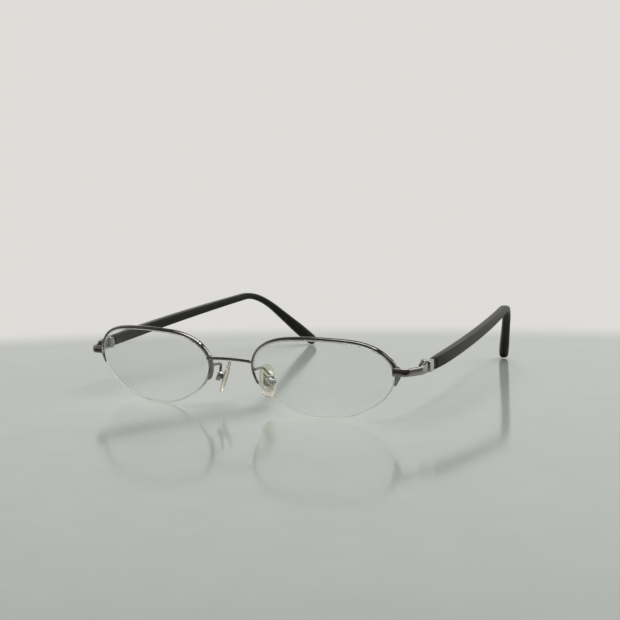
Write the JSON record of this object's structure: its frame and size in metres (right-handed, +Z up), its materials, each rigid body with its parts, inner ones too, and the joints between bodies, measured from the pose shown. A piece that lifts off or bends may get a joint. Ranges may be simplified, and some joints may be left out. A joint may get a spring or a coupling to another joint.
{
  "type": "eyeglasses",
  "caption": "Half-rim metal eyeglasses with clear lenses held by nylon cord, barrel-hinged plastic temples that fold, and screw-on rocking nose pads.",
  "frame": {"origin": "on the surface it stands on, under the middle of the open eyeglasses", "axes": "+Z up, -Y the way the lenses face, +X towards the wearer's left; the YZ plane is the mirror plane"},
  "size_m": [0.139, 0.1539, 0.0289],
  "materials": {
    "rim_metal": "polished warm gunmetal plating",
    "hinge_metal": "bright nickel plating",
    "ferrule_metal": "satin nickel silver",
    "screw_steel": "turned steel",
    "core_steel": "drawn wire",
    "lens": "clear polished demonstration lens",
    "clear_nylon": "clear nylon",
    "nose_pad": "clear pad material, slightly yellowed",
    "temple_plastic": "satin dark olive grey with faint lengthwise grain",
    "ring_plastic": "black"
  },
  "bodies": {
    "front": {"bridge": "rim_metal", "left_half_rim": "rim_metal", "left_rim_liner": "clear_nylon", "left_lens": "lens", "left_nylon_cord": "clear_nylon", "left_endpiece": "rim_metal", "left_hinge_front_leaf": "hinge_metal", "left_hinge_screw": "screw_steel", "left_pad_arm": "rim_metal", "left_pad_box": "hinge_metal", "left_pad_screw": "screw_steel", "right_half_rim": "rim_metal", "right_rim_liner": "clear_nylon", "right_lens": "lens", "right_nylon_cord": "clear_nylon", "right_endpiece": "rim_metal", "right_hinge_front_leaf": "hinge_metal", "right_hinge_screw": "screw_steel", "right_pad_arm": "rim_metal", "right_pad_box": "hinge_metal", "right_pad_screw": "screw_steel"},
    "left_temple": {"left_hinge_temple_leaf": "hinge_metal", "left_temple_ferrule": "ferrule_metal", "left_temple_ring": "ring_plastic", "left_temple_sleeve": "temple_plastic", "left_temple_core": "core_steel"},
    "right_temple": {"right_hinge_temple_leaf": "hinge_metal", "right_temple_ferrule": "ferrule_metal", "right_temple_ring": "ring_plastic", "right_temple_sleeve": "temple_plastic", "right_temple_core": "core_steel"},
    "left_nose_pad": {"left_pad_insert": "hinge_metal", "left_nose_pad": "nose_pad"},
    "right_nose_pad": {"right_pad_insert": "hinge_metal", "right_nose_pad": "nose_pad"}
  },
  "joints": [
    {"name": "left_temple_fold", "type": "hinge", "parent": "front", "child": "left_temple", "pos_m": [0.0657, -0.05604, 0.0183], "axis": [0, -0.0906, 0.9959], "range_deg": [0, 86]},
    {"name": "right_temple_fold", "type": "hinge", "parent": "front", "child": "right_temple", "pos_m": [-0.0657, -0.05604, 0.0183], "axis": [0, 0.0906, -0.9959], "range_deg": [0, 80]},
    {"name": "left_pad_rock", "type": "hinge", "parent": "front", "child": "left_nose_pad", "pos_m": [0.011, -0.06479, 0.01076], "axis": [-0.5248, -0.8398, 0.1393], "range_deg": [-8, 8]},
    {"name": "right_pad_rock", "type": "hinge", "parent": "front", "child": "right_nose_pad", "pos_m": [-0.011, -0.06479, 0.01076], "axis": [0.5248, -0.8398, 0.1393], "range_deg": [-8, 8]}
  ]
}
